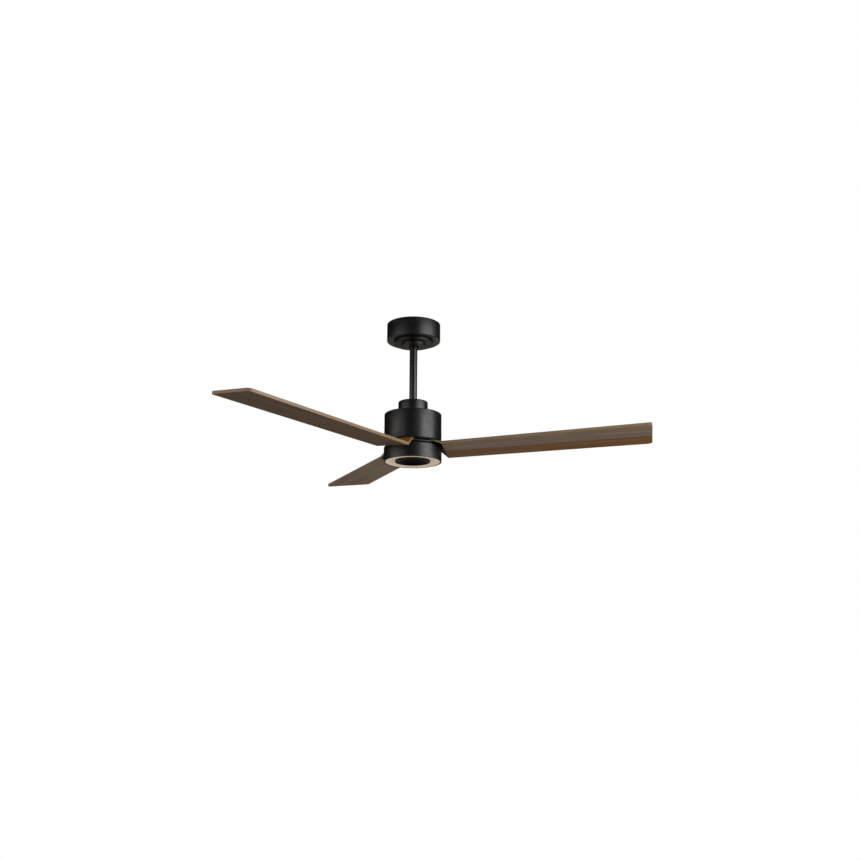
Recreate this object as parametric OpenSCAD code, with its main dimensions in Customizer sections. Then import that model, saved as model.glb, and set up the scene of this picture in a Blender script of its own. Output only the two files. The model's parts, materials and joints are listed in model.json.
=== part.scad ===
// Three-blade ceiling fan with a ring light, hung on a ball-jointed rod.
// Millimetres. Origin: centre of the ceiling plane, +Z up, the fan hangs towards -Z.

/* [Canopy] */
// Outer radius of the canopy cup
canopy_r = 76; // [70:1:84]
// Height of the canopy's cylindrical wall
canopy_h = 50; // [48:1:60]
// Sheet thickness of the canopy
canopy_wall = 1.5; // [1.2:0.1:2]
// Radius of the wide step of the canopy cover
cover_wide_r = 56.5; // [54:0.5:62]
// Radius of the narrow step of the canopy cover
cover_narrow_r = 35; // [32:0.5:40]
// Drop of each step of the canopy cover
cover_step = 7.6; // [6:0.2:10]
// Room round the rod in the cover's hole, so that the rod can swing
cover_room = 3.6; // [3.2:0.2:6]

/* [Hanger] */
// Radius of the hanger ball
ball_r = 21; // [20:0.5:22.5]
// Depth of the ball's centre below the ceiling
ball_z = 30; // [29:0.5:32]
// Thickness of the bracket plate and legs
bracket_t = 2.5; // [2:0.1:3]
// Distance between the two slots that take the outlet-box screws
slot_spacing = 89; // [80:1:92]
// End-to-end length of each slot
slot_l = 14; // [10:1:16]
// Width of each slot
slot_w = 5.5; // [4.5:0.1:6]

/* [Downrod] */
// Outer radius of the downrod
rod_r = 11; // [9:0.1:13.5]
// Wall of the downrod
rod_wall = 1.6; // [1.4:0.1:2.5]
// Length of rod seen between the canopy cover and the coupling cover
rod_seen = 163.8; // [100:0.2:600]

/* [Coupling] */
// Outer radius of the coupling cover
collar_r = 41.5; // [38:0.5:48]
// Height of the coupling cover
collar_h = 36.2; // [32:0.2:45]

/* [Motor housing] */
// Outer radius of the motor housing
motor_r = 80; // [79:0.5:100]
// Height of the motor housing
motor_h = 81; // [80:0.5:100]
// Sheet thickness of the housings
housing_wall = 1.6; // [1.2:0.1:2]
// Gap between the two housings, where the blades come out
gap_h = 14.8; // [14.4:0.1:18]

/* [Light] */
// Outer radius of the light housing
light_r = 80.6; // [79:0.1:100]
// Height of the light housing
light_h = 40.6; // [40:0.2:50]
// Width of the black rim round the ring diffuser
rim_w = 4.4; // [3.6:0.2:6]
// Width of the ring diffuser
diffuser_w = 27.4; // [24:0.2:30]
// How far the diffuser is dished upwards from its rim to the centre cup's wall
dish = 3.6; // [0:0.2:4]

/* [Blades] */
// Radius of the circle that the blade tips sweep
tip_r = 660; // [450:1:760]
// Blade width at its root
blade_root_w = 118; // [108:1:126]
// Blade width at its tip
blade_tip_w = 142; // [100:1:160]
// Blade thickness
blade_t = 8; // [6:0.5:9]
// Thickness of the flat tab at the blade's root
tab_t = 5.5; // [4:0.5:6]
// Pitch of the blade about its length, in degrees
blade_pitch = 7.2; // [4:0.1:8]
// Upward tilt of the blade towards its tip, in degrees
blade_rise = 2.5; // [0:0.1:4]
// How far the blade panel is shifted towards its low edge
blade_shift = 8; // [4:0.5:10]
// Angle of the first blade at rest, from +X, in degrees
blade_angle = -11.8; // [-60:0.1:60]

/* [Hidden] */

blades = 3;
turn = 360 / blades;
touch = 0.02;           // hairline kept between pieces that touch, so that solids never share volume
run = 0.06;             // radial clearance of a shaft in a hole
free = 0.4;             // clearance between pieces that move past each other
round_fn = 96;
small_fn = 32;
black = "#17171a";
steel = "#9a9c9f";
copper = "#b5662e";
walnut = "#5b4331";

// Heights, from the ceiling down
cover_z = -canopy_h;                              // underside of the canopy, where its cover starts
cover_bottom = cover_z - 2 * cover_step;          // lowest face of the canopy cover
collar_top = cover_bottom - rod_seen;
motor_top = collar_top - collar_h;
motor_bottom = motor_top - motor_h;
light_top = motor_bottom - gap_h;
light_bottom = light_top - light_h;
ball_centre = -ball_z;
rod_top = ball_centre + 17;

// Hanger ball and its seat
ball_flat = 15;                                   // half height of the ball between its flats
ball_bore_r = rod_r + 1.1;                        // loose bore: the rod rocks on the cross pin
seat_r = ball_r + 3;
seat_open_r = rod_r + 4;
cover_hole_r = rod_r + cover_room;
seat_low = ball_centre - ball_flat - 1;
seat_high = ball_centre - 7;
seat_h = seat_high - seat_low;
key_w = 4;                                        // key on the seat that stops the ball from turning
key_slot_w = 5;
key_depth = 3;
pin_r = 3;
pin_l = 2 * ball_r - 8;
leg_x = ball_r + 1.5;
leg_w = 22;

// Bracket plate and the flanges that carry the canopy
plate_l = slot_spacing + slot_l + 14;
plate_w = 44;
flange_angle = 60;
flange_r = 46;                                    // distance of the canopy screws from the axis
flange_w = 16;
flange_out = flange_r + 8;
supply_hole_r = 9;
earth_spot = [30, -15];
earth_screw_r = 2;
canopy_screw_r = 2;
canopy_floor = cover_z + canopy_wall;             // upper face of the canopy's bottom
canopy_mouth_r = seat_r + 3;

// Remote receiver and its wires, inside the canopy
receiver_size = [60, 30, 26];
receiver_angle = 300;
receiver_mid_r = 46;
lead_r = 1.4;
lead_arc_r = 58;
lead_from = 332;
lead_sweep = 46;
leads_z = [for (step = [10, 3, -4]) canopy_floor + receiver_size[2] / 2 + step];

// Rod ends and coupling
rod_bore_r = rod_r - rod_wall;
coupling_top = collar_top - 6;
flange_t = 6;
coupling_flange_r = 34;
coupling_tube_r = rod_r + 6;
rod_bottom = motor_top + flange_t + 3;
clevis_z = (coupling_top + rod_bottom) / 2 + 2;
clevis_r = 3;
set_screw_r = 2.5;
collar_wall = 1.5;
housing_screws_r = 27;                            // distance of the housing's screws from the axis
housing_screw_r = 2;

// Motor
shaft_r = 8.5;
shaft_bore_r = 5;
shaft_top = motor_top + flange_t - 1;
race_t = 2.2;                                     // radial thickness of a bearing race
ball_gap = 5;                                     // radial room between the races
bearing_in_r = shaft_r + touch;
bearing_mid_r = bearing_in_r + race_t;
bearing_lip_r = bearing_mid_r + ball_gap;
bearing_out_r = bearing_lip_r + race_t;
bearing_h = 8;
bearing_balls_n = 9;
bell_top = motor_top - housing_wall - 14;
bell_t = 3;
bell_r = motor_r - 18;
bell_foot_t = 3;
vents_r = 40;                                     // distance of the cooling holes from the axis
vent_r = 7;
bell_screw_r = 1.5;
bell_screw_depth = 4.5;
bell_rim = 3.2;
magnet_t = 4.5;
magnets_n = 14;
base_bottom = motor_bottom - 0.9;                 // underside of the blade flange
base_t = 7;
base_top = base_bottom + base_t;
base_r = motor_r - 8;
race_lip = 1;                                     // lip that keeps each outer race in its seat
upper_bearing_z = bell_top - race_lip - bearing_h;
lower_bearing_z = base_bottom + race_lip;
core_h = 24;
core_z = (bell_top - bell_t + base_top) / 2 - core_h / 2;
core_r = bell_r - bell_rim - magnet_t - 0.8;      // 0.8 mm air gap
core_in_r = 24;
core_hub_h = 14;
yoke_t = 8;
teeth = 12;
tooth_w = 7;
tooth_tip_t = 3;
tooth_gap = 3;

// Blade root: the flat tab ends at a curved fold, and a web joins the fold to the pitched panel
gasket_t = 1;
gasket_outline = [[36, -30], [66, -20], [66, 20], [36, 30]];
tab_top = base_bottom - gasket_t;
tab_bottom = tab_top - tab_t;
clamp_t = 2;
clamp_in_r = 32;
fold_r = light_r - 3.6;
clamp_out_r = fold_r - 4;
fold_low = 40.5;                                  // angles from the blade's line to the fold's two ends
fold_high = -31.2;
fold_steps = 8;
tab_inner = [[30, -33], [30, 35]];                // the tab's corners next to the hub
panel_x = light_r + 9.4;                          // where the pitched panel starts
panel_drop = 14.5;                                // how far the panel's middle lies below the tab
tip_low_r = 12;                                   // rounding of the two tip corners
tip_high_r = 5;
tip_steps = 8;
blade_screw_r = 2.5;
blade_screw_spots = [[46, -20], [46, 20], [64, 0]];
blade_screw_depth = 5;

// Light kit
plate_t = 2;
plate_r = 44;
plate_screws_r = 36;
plate_screw_r = 1.5;
light_floor = light_top - plate_t;
nut_h = 6;
nut_r = 14;
washer_t = 1.5;
cup_wall = 1.2;
ring_out_r = light_r - rim_w;
ring_in_r = ring_out_r - diffuser_w;
cup_depth = 25.6;                                 // from the cup's lip to the middle of its bowl
board_r_in = ring_in_r + 4;
board_r_out = ring_out_r - 2.5;
board_z = light_bottom + 14;
board_t = 1.6;
leds_n = 36;
led_size = [3.5, 2.8, 0.8];
diffuser_t = 2;
diffuser_z = light_bottom + 0.5;                  // underside of the diffuser at its rim
diffuser_flat = 3;                                // flat rim that sits in the bezel

// Outline of the pitched panel from its root to the tip, X along the blade, +Y towards the low edge
low_centre = blade_shift + blade_tip_w / 2 - tip_low_r;
high_centre = blade_shift - blade_tip_w / 2 + tip_high_r;
tip_x = tip_low_r + sqrt(pow(tip_r - tip_low_r, 2) - pow(low_centre, 2)) - panel_x;
function corner(centre, r, from) = [for (i = [0 : tip_steps])
    [tip_x - r, centre] + r * [cos(from + i * 90 / tip_steps), sin(from + i * 90 / tip_steps)]];
panel_outline = concat([[0, blade_shift - blade_root_w / 2]], corner(high_centre, tip_high_r, -90),
    corner(low_centre, tip_low_r, 0), [[0, blade_shift + blade_root_w / 2]]);
fold_line = [for (i = [0 : fold_steps]) let (a = fold_high + (fold_low - fold_high) * i / fold_steps)
    fold_r * [cos(a), sin(a)]];

// A point of the panel, [along, across, up], carried into the blade's own frame
function tilt(p) = [p[0] * cos(blade_rise) - p[2] * sin(blade_rise), p[1],
    p[0] * sin(blade_rise) + p[2] * cos(blade_rise)];
function pitch(p) = [p[0], p[1] * cos(blade_pitch) + p[2] * sin(blade_pitch),
    -p[1] * sin(blade_pitch) + p[2] * cos(blade_pitch)];
function placed(p) = pitch(tilt(p)) + [panel_x, 0, tab_top - panel_drop];

// One skin of the blade: inner corner, fold from the high to the low side, panel, inner corner
function skin(flat_z, panel_z) = concat([concat(tab_inner[0], flat_z)],
    [for (p = fold_line) concat(p, flat_z)], [for (p = panel_outline) placed(concat(p, panel_z))],
    [concat(tab_inner[1], flat_z)]);
upper = skin(tab_top, 0);
lower = skin(tab_bottom, -blade_t);

module ring(r_out, r_in, h) {
    difference() {
        cylinder(r = r_out, h = h, $fn = round_fn);
        translate([0, 0, -1]) cylinder(r = r_in, h = h + 2, $fn = round_fn);
    }
}

// A screw with a low round head, standing on z = 0 with its shank upwards
module screw(r, shank, head_r, head_h) {
    translate([0, 0, -head_h]) cylinder(r = head_r, h = head_h, $fn = small_fn);
    cylinder(r = r, h = shank, $fn = small_fn);
}

// A straight slot cut, centred on the origin, along X
module slot_cut(l, w, h) {
    for (side = [-1, 1]) translate([side * (l - w) / 2, 0, 0]) cylinder(r = w / 2, h = h, $fn = small_fn);
    translate([-(l - w) / 2, -w / 2, 0]) cube([l - w, w, h]);
}

// A thin cup turned from its outline: open end at z_open, closed end at z_shut, with a round hole in it
module cup(r, z_open, z_shut, wall, hole_r, edge_r) {
    dir = z_shut > z_open ? 1 : -1;
    rotate_extrude($fn = round_fn) union() {
        // side wall
        translate([r - wall, min(z_open, z_shut - dir * edge_r)])
            square([wall, abs(z_shut - z_open) - edge_r]);
        // closed end
        translate([hole_r, min(z_shut, z_shut - dir * wall)]) square([r - edge_r - hole_r, wall]);
        // rounded corner
        translate([r - edge_r, z_shut - dir * edge_r]) intersection() {
            difference() {
                circle(r = edge_r, $fn = small_fn * 2);
                circle(r = edge_r - wall, $fn = small_fn * 2);
            }
            translate([0, dir > 0 ? 0 : -edge_r]) square(edge_r);
        }
    }
}

// A box with rounded upright edges, centred in X and Y, standing on z = 0
module rounded_box(l, w, h, r) {
    translate([-l / 2 + r, -w / 2, 0]) cube([l - 2 * r, w, h]);
    translate([-l / 2, -w / 2 + r, 0]) cube([l, w - 2 * r, h]);
    for (x = [-1, 1], y = [-1, 1])
        translate([x * (l / 2 - r), y * (w / 2 - r), 0]) cylinder(r = r, h = h, $fn = small_fn);
}

// ---- Fixed to the ceiling ----

module hanger_bracket() {
    color(steel) union() {
        difference() {
            union() {
                translate([-plate_l / 2, -plate_w / 2, -bracket_t]) cube([plate_l, plate_w, bracket_t]);
                rotate(flange_angle) {
                    translate([-flange_out, -flange_w / 2, -bracket_t])
                        cube([2 * flange_out, flange_w, bracket_t]);
                    for (side = [0, 180]) rotate(side) {
                        translate([flange_out - bracket_t, -flange_w / 2, canopy_floor + touch])
                            cube([bracket_t, flange_w, -canopy_floor - touch]);
                        translate([flange_r - 8, -flange_w / 2, canopy_floor + touch])
                            cube([flange_out - flange_r + 8, flange_w, bracket_t]);
                    }
                }
                for (side = [0, 180]) rotate(side)
                    translate([leg_x, -leg_w / 2, seat_low]) cube([bracket_t, leg_w, -seat_low]);
                translate([0, 0, seat_low]) cylinder(r = seat_r, h = seat_h, $fn = round_fn);
            }
            translate([0, 0, ball_centre]) sphere(r = ball_r + run, $fn = round_fn);
            translate([0, 0, seat_low - 1]) cylinder(r = seat_open_r, h = seat_h + 2, $fn = round_fn);
            // open side that the rod is hooked in through
            translate([-seat_open_r, 0, seat_low - 1]) cube([2 * seat_open_r, seat_r + 1, seat_h + 2]);
            translate([0, 0, -bracket_t - 1]) cylinder(r = supply_hole_r, h = bracket_t + 2, $fn = small_fn);
            for (side = [-1, 1]) translate([side * slot_spacing / 2, 0, -bracket_t - 1])
                slot_cut(slot_l, slot_w, bracket_t + 2);
            for (side = [0, 180]) rotate(flange_angle + side) translate([flange_r, 0, canopy_floor])
                cylinder(r = canopy_screw_r + touch, h = bracket_t + 1, $fn = small_fn);
            translate(concat(earth_spot, -bracket_t - 1))
                cylinder(r = earth_screw_r + touch, h = bracket_t + 2, $fn = small_fn);
        }
        // key that stands in the ball's groove
        translate([-key_w / 2, -seat_r + 0.5, seat_high - 4])
            cube([key_w, seat_r - ball_r + key_depth - 1, 4]);
    }
}

module earth_screw() {
    color("#4a8a4a") translate(concat(earth_spot, -bracket_t - touch))
        screw(earth_screw_r, bracket_t, 4, 2.2);
}

module canopy() {
    color(black) difference() {
        cup(canopy_r, 0, cover_z, canopy_wall, canopy_mouth_r, 2.5);
        for (side = [0, 180]) rotate(flange_angle + side) translate([flange_r, 0, cover_z - 1])
            cylinder(r = canopy_screw_r + 0.3, h = canopy_wall + 2, $fn = small_fn);
    }
}

module canopy_screws() {
    color(steel) for (side = [0, 180]) rotate(flange_angle + side)
        translate([flange_r, 0, cover_z - touch]) screw(canopy_screw_r, canopy_wall + bracket_t + 3, 4, 2.2);
}

module canopy_cover() {
    t = 1.2;
    top = cover_z - touch;
    mid = cover_z - cover_step;
    low = cover_bottom;
    sleeve_r = canopy_mouth_r - free;
    sleeve_top = seat_low - 0.6;
    lip_z = canopy_floor + touch;
    color(black) rotate_extrude($fn = round_fn) union() {
        polygon([[cover_hole_r, low], [cover_narrow_r, low], [cover_narrow_r, mid], [cover_wide_r, mid],
            [cover_wide_r, top], [cover_wide_r - t, top], [cover_wide_r - t, mid + t],
            [cover_narrow_r - t, mid + t], [cover_narrow_r - t, low + t], [cover_hole_r, low + t]]);
        // sleeve that snaps over the edge of the canopy's hole
        translate([sleeve_r - t, low + t]) square([t, sleeve_top - low - t]);
        translate([sleeve_r - t, lip_z]) square([t + 1, sleeve_top - lip_z]);
    }
}

module receiver() {
    color("#e4e4e0") rotate(receiver_angle + 90) translate([0, -receiver_mid_r, canopy_floor + touch])
        rounded_box(receiver_size[0], receiver_size[1], receiver_size[2], 3);
}

module supply_leads() {
    color("#3a3a3c") for (z = leads_z) rotate(lead_from)
        rotate_extrude(angle = lead_sweep, $fn = round_fn)
            translate([lead_arc_r, z]) circle(r = lead_r, $fn = 24);
}

module wire_connectors() {
    color("#c98a2b") for (z = leads_z) rotate(lead_from + lead_sweep)
        translate([lead_arc_r, touch, z]) rotate([-90, 0, 0]) union() {
            cylinder(r = 3.2, h = 12, $fn = small_fn);
            cylinder(r = 2.2, h = 15, $fn = small_fn);
        }
}

// ---- In the ball seat ----

module hanger_ball() {
    color("#2b2b2d") translate([0, 0, ball_centre]) difference() {
        intersection() {
            sphere(r = ball_r, $fn = round_fn);
            translate([-ball_r, -ball_r, -ball_flat]) cube([2 * ball_r, 2 * ball_r, 2 * ball_flat]);
        }
        translate([0, 0, -ball_r]) cylinder(r = ball_bore_r, h = 2 * ball_r, $fn = round_fn);
        rotate([90, 0, 0]) translate([0, 0, -pin_l / 2])
            cylinder(r = pin_r + touch, h = pin_l, $fn = small_fn);
        translate([-key_slot_w / 2, -ball_r - 1, -ball_r])
            cube([key_slot_w, key_depth + 1.2, 2 * ball_r]);
    }
}

module ball_pin() {
    color(steel) translate([0, 0, ball_centre]) rotate([90, 0, 0])
        translate([0, 0, -pin_l / 2 + touch]) cylinder(r = pin_r, h = pin_l - 2 * touch, $fn = small_fn);
}

// ---- Hanging on the ball ----

module downrod() {
    color(black) difference() {
        translate([0, 0, rod_bottom]) cylinder(r = rod_r, h = rod_top - rod_bottom, $fn = round_fn);
        translate([0, 0, rod_bottom - 1])
            cylinder(r = rod_bore_r, h = rod_top - rod_bottom + 2, $fn = round_fn);
        translate([0, 0, ball_centre]) rotate([90, 0, 0]) translate([0, 0, -rod_r - 1])
            cylinder(r = pin_r + run, h = 2 * rod_r + 2, $fn = small_fn);
        translate([-rod_r - 1, 0, clevis_z]) rotate([0, 90, 0])
            cylinder(r = clevis_r + touch, h = 2 * rod_r + 2, $fn = small_fn);
    }
}

// The leads pass beside both cross pins, one bundle on each side of the ball pin
module motor_leads() {
    lead_x = pin_r + 2.6;
    color("#3a3a3c") for (side = [-1, 1]) {
        translate([side * lead_x, 0, clevis_z + clevis_r + 3])
            cylinder(r = 2, h = rod_top - clevis_z - clevis_r - 6, $fn = 24);
    }
}

module coupling() {
    color("#3c3c3f") difference() {
        union() {
            translate([0, 0, motor_top + touch])
                cylinder(r = coupling_tube_r, h = coupling_top - motor_top, $fn = round_fn);
            translate([0, 0, motor_top + touch])
                cylinder(r = coupling_flange_r, h = flange_t, $fn = round_fn);
        }
        translate([0, 0, rod_bottom - touch])
            cylinder(r = rod_r + touch, h = coupling_top - rod_bottom + 1, $fn = round_fn);
        translate([0, 0, motor_top - 1])
            cylinder(r = shaft_r + touch, h = rod_bottom - motor_top + 2, $fn = round_fn);
        translate([-coupling_tube_r - 1, 0, clevis_z]) rotate([0, 90, 0])
            cylinder(r = clevis_r + touch, h = 2 * coupling_tube_r + 2, $fn = small_fn);
        translate([0, 0, clevis_z]) rotate([90, 0, 0]) translate([0, 0, -coupling_tube_r - 1])
            cylinder(r = set_screw_r + touch, h = 2 * coupling_tube_r + 2, $fn = small_fn);
        housing_screw_spots() translate([0, 0, -1])
            cylinder(r = housing_screw_r + touch, h = flange_t + 2, $fn = small_fn);
    }
}

module housing_screw_spots() {
    for (i = [0 : 3]) rotate(45 + 90 * i) translate([housing_screws_r, 0, motor_top]) children();
}

module clevis_pin() {
    color(steel) translate([0, 0, clevis_z]) difference() {
        union() {
            translate([-coupling_tube_r - touch, 0, 0]) rotate([0, 90, 0])
                cylinder(r = clevis_r, h = 2 * coupling_tube_r + 6, $fn = small_fn);
            translate([-coupling_tube_r - touch - 2, 0, 0]) rotate([0, 90, 0])
                cylinder(r = clevis_r + 2, h = 2, $fn = small_fn);
        }
        translate([coupling_tube_r + 3, 0, -clevis_r - 1]) cylinder(r = 0.9, h = 2 * clevis_r + 2, $fn = 24);
    }
}

module hairpin_clip() {
    wire_r = 0.8;
    loop_r = 3;
    color(steel) translate([coupling_tube_r + 3, 0, clevis_z]) {
        translate([0, 0, -6]) cylinder(r = wire_r, h = 11, $fn = 24);
        translate([0, 0, -6 - loop_r]) rotate([0, 90, 0]) rotate_extrude($fn = 48)
            translate([loop_r, 0]) circle(r = wire_r, $fn = 24);
    }
}

module coupling_set_screws() {
    color(steel) for (side = [0, 180]) rotate(side) translate([0, rod_r + touch, clevis_z])
        rotate([-90, 0, 0]) difference() {
            cylinder(r = set_screw_r, h = coupling_tube_r - rod_r + 3, $fn = small_fn);
            translate([0, 0, coupling_tube_r - rod_r + 1]) cylinder(r = 1.3, h = 3, $fn = 6);
        }
}

module coupling_cover() {
    color(black) cup(collar_r, motor_top + touch, collar_top, collar_wall, rod_r + 0.6, 3);
}

module motor_housing() {
    color(black) difference() {
        cup(motor_r, motor_bottom, motor_top, housing_wall, shaft_r + 3, 3);
        housing_screw_spots() translate([0, 0, -housing_wall - 1])
            cylinder(r = housing_screw_r + touch, h = housing_wall + 2, $fn = small_fn);
    }
}

module housing_screws() {
    nut_t = 2.4;
    color(steel) housing_screw_spots() union() {
        translate([0, 0, flange_t + 2 * touch]) mirror([0, 0, 1])
            screw(housing_screw_r, flange_t + housing_wall + nut_t, 3.6, 2.2);
        translate([0, 0, -housing_wall - nut_t - touch]) cylinder(r = 3.5, h = nut_t, $fn = 6);
    }
}

module motor_shaft() {
    bottom = light_top - housing_wall - plate_t - washer_t - nut_h - 1;
    color(steel) difference() {
        translate([0, 0, bottom]) cylinder(r = shaft_r, h = shaft_top - bottom, $fn = round_fn);
        translate([0, 0, bottom - 1]) cylinder(r = shaft_bore_r, h = shaft_top - bottom + 2, $fn = round_fn);
    }
}

module stator_hub() {
    color(steel) translate([0, 0, core_z + (core_h - core_hub_h) / 2])
        ring(core_in_r - touch, shaft_r + touch, core_hub_h);
}

// Laminated core: a yoke with teeth whose tips are wider than their necks
module stator_core() {
    color("#6d6f74") translate([0, 0, core_z]) linear_extrude(core_h) difference() {
        union() {
            circle(r = core_in_r + yoke_t, $fn = round_fn);
            for (i = [0 : teeth - 1]) rotate(i * 360 / teeth)
                translate([core_in_r + 4, -tooth_w / 2]) square([core_r - core_in_r - 5, tooth_w]);
            difference() {
                circle(r = core_r, $fn = round_fn);
                circle(r = core_r - tooth_tip_t, $fn = round_fn);
                for (i = [0 : teeth - 1]) rotate((i + 0.5) * 360 / teeth)
                    translate([core_in_r, -tooth_gap / 2]) square([core_r, tooth_gap]);
            }
        }
        circle(r = core_in_r, $fn = round_fn);
    }
}

module stator_windings() {
    from_r = core_in_r + yoke_t + 0.8;
    len = core_r - tooth_tip_t - 0.8 - from_r;
    side_t = 3.2;
    color(copper) for (i = [0 : teeth - 1]) rotate(i * 360 / teeth)
        translate([from_r + len / 2, 0, core_z - side_t]) difference() {
            rounded_box(len, tooth_w + 2 * side_t, core_h + 2 * side_t, 1.6);
            translate([-len, -tooth_w / 2 - touch, side_t - touch])
                cube([2 * len, tooth_w + 2 * touch, core_h + 2 * touch]);
        }
}

module bearing_inner_races() {
    color(steel) for (z = [upper_bearing_z, lower_bearing_z]) translate([0, 0, z]) difference() {
        ring(bearing_mid_r, bearing_in_r, bearing_h);
        ball_track();
    }
}

// Groove that the balls of a bearing run in
module ball_track() {
    translate([0, 0, bearing_h / 2]) rotate_extrude($fn = round_fn)
        translate([bearing_mid_r + ball_gap / 2, 0]) circle(r = ball_gap / 2 + 0.5, $fn = small_fn);
}

// ---- Light kit ----

module light_plate() {
    color(steel) difference() {
        translate([0, 0, light_floor - housing_wall - touch]) ring(plate_r, shaft_r + touch, plate_t);
        plate_screw_spots() translate([0, 0, -plate_t - 1])
            cylinder(r = plate_screw_r + touch, h = plate_t + 2, $fn = small_fn);
    }
}

module plate_screw_spots() {
    for (i = [0 : 2]) rotate(30 + 120 * i)
        translate([plate_screws_r, 0, light_top - housing_wall]) children();
}

module plate_screws() {
    color(steel) plate_screw_spots() translate([0, 0, -plate_t - 2 * touch])
        screw(plate_screw_r, plate_t + housing_wall, 3, 1.6);
}

module shaft_washer() {
    color(steel) translate([0, 0, light_floor - housing_wall - washer_t - 2 * touch])
        ring(nut_r + 1, shaft_r + touch, washer_t);
}

module shaft_nut() {
    color(steel) translate([0, 0, light_floor - housing_wall - washer_t - nut_h - 3 * touch]) difference() {
        cylinder(r = nut_r, h = nut_h, $fn = 6);
        translate([0, 0, -1]) cylinder(r = shaft_r + touch, h = nut_h + 2, $fn = round_fn);
    }
}

module light_housing() {
    color(black) difference() {
        cup(light_r, light_bottom, light_top, housing_wall, shaft_r + touch, 1.8);
        plate_screw_spots() translate([0, 0, -1])
            cylinder(r = plate_screw_r + touch, h = housing_wall + 2, $fn = small_fn);
    }
}

// Rim under the diffuser's outer edge, with a ledge above that the diffuser seats against
module light_bezel() {
    out_r = light_r - housing_wall - touch;
    color(black) translate([0, 0, light_bottom]) rotate_extrude($fn = round_fn)
        polygon([[ring_out_r + touch, 0], [out_r, 0], [out_r, 5], [ring_out_r - 2, 5],
            [ring_out_r - 2, diffuser_t + 0.6], [ring_out_r + touch, diffuser_t + 0.6]]);
}

module ring_diffuser() {
    in_r = ring_in_r + touch;
    flat_r = ring_out_r - diffuser_flat;
    color("#efe2d0") translate([0, 0, diffuser_z]) rotate_extrude($fn = round_fn)
        polygon([[in_r, dish], [flat_r, 0], [ring_out_r, 0], [ring_out_r, diffuser_t], [flat_r, diffuser_t],
            [in_r, dish + diffuser_t]]);
}

// A round bowl whose lip is level with the housing's rim; the diffuser's inner edge seats on its wall
module centre_cup() {
    lip_r = ring_in_r - cup_wall;
    bowl_r = (pow(lip_r, 2) + pow(cup_depth, 2)) / (2 * cup_depth);
    wall_h = diffuser_z - light_bottom + dish + diffuser_t + 0.5;
    color(black) translate([0, 0, light_bottom]) rotate_extrude($fn = round_fn) union() {
        intersection() {
            translate([0, cup_depth - bowl_r]) difference() {
                circle(r = bowl_r + cup_wall, $fn = round_fn * 2);
                circle(r = bowl_r, $fn = round_fn * 2);
            }
            square([ring_in_r, cup_depth + cup_wall]);
        }
        translate([lip_r, 0]) square([cup_wall, wall_h]);
    }
}

module led_carrier() {
    z = board_z + board_t + touch;
    plate_low = light_floor - housing_wall - 2 * touch;
    sheet = 1.5;
    foot_r = plate_r - 10;
    color("#b9bcc0") union() {
        translate([0, 0, z]) ring(board_r_out, board_r_in, sheet);
        // three brackets up to the plate
        for (i = [0 : 2]) rotate(120 * i) {
            translate([board_r_in, -6, z]) cube([sheet, 12, plate_low - z]);
            translate([foot_r, -6, plate_low - sheet]) cube([board_r_in - foot_r + 1, 12, sheet]);
        }
    }
}

module led_board() {
    color("#f2f2ee") translate([0, 0, board_z]) ring(board_r_out, board_r_in, board_t);
}

module led_chips() {
    mid_r = (board_r_in + board_r_out) / 2;
    color("#f4d98a") for (i = [0 : leds_n - 1]) rotate(i * 360 / leds_n)
        translate([mid_r - led_size[0] / 2, -led_size[1] / 2, board_z - led_size[2] - touch]) cube(led_size);
}

module led_driver() {
    h = 8;
    color("#e4e4e0") translate([-plate_screws_r - 1, 0, light_floor - housing_wall - h - 2 * touch])
        rounded_box(34, 26, h, 2);
}

// ---- Turning ----

// Screw places of one blade's tab
module tab_screws() {
    for (spot = blade_screw_spots) translate(concat(spot, 0)) children();
}

module each_blade() {
    for (i = [0 : blades - 1]) rotate(blade_angle + i * turn) children();
}

module rotor_bell() {
    hub_r = bearing_out_r + 3;
    rim_h = bell_top - base_top;
    color("#85878b") difference() {
        union() {
            translate([0, 0, bell_top - bell_t]) cylinder(r = bell_r, h = bell_t, $fn = round_fn);
            translate([0, 0, upper_bearing_z]) cylinder(r = hub_r, h = bearing_h + race_lip, $fn = round_fn);
            translate([0, 0, base_top + touch]) ring(bell_r, bell_r - bell_rim, rim_h - touch);
            translate([0, 0, base_top + touch]) ring(base_r - 1, bell_r - bell_rim, bell_foot_t);
        }
        translate([0, 0, upper_bearing_z - 1])
            cylinder(r = bearing_out_r + touch, h = bearing_h + 1, $fn = round_fn);
        translate([0, 0, bell_top - bell_t - 1])
            cylinder(r = bearing_lip_r - 1, h = bell_t + 2, $fn = round_fn);
        bell_screw_spots() translate([0, 0, -1])
            cylinder(r = bell_screw_r + touch, h = bell_foot_t + 3, $fn = small_fn);
        // cooling holes
        for (i = [0 : 5]) rotate(i * 60) translate([vents_r, 0, bell_top - bell_t - 1])
            cylinder(r = vent_r, h = bell_t + 2, $fn = small_fn);
    }
}

module bell_screw_spots() {
    for (i = [0 : 5]) rotate(30 + i * 60) translate([(bell_r + base_r) / 2 - 0.5, 0, base_top]) children();
}

module bell_screws() {
    color(steel) bell_screw_spots() translate([0, 0, bell_foot_t + 2 * touch]) mirror([0, 0, 1])
        screw(bell_screw_r, bell_foot_t + bell_screw_depth - 0.5, 2.8, 1.8);
}

module rotor_magnets() {
    gap_angle = 3;
    overhang = 4;
    color("#3f4044") for (i = [0 : magnets_n - 1]) rotate(i * 360 / magnets_n)
        rotate_extrude(angle = 360 / magnets_n - gap_angle, $fn = round_fn)
            translate([bell_r - bell_rim - magnet_t - touch, core_z - overhang])
                square([magnet_t, core_h + 2 * overhang]);
}

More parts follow.
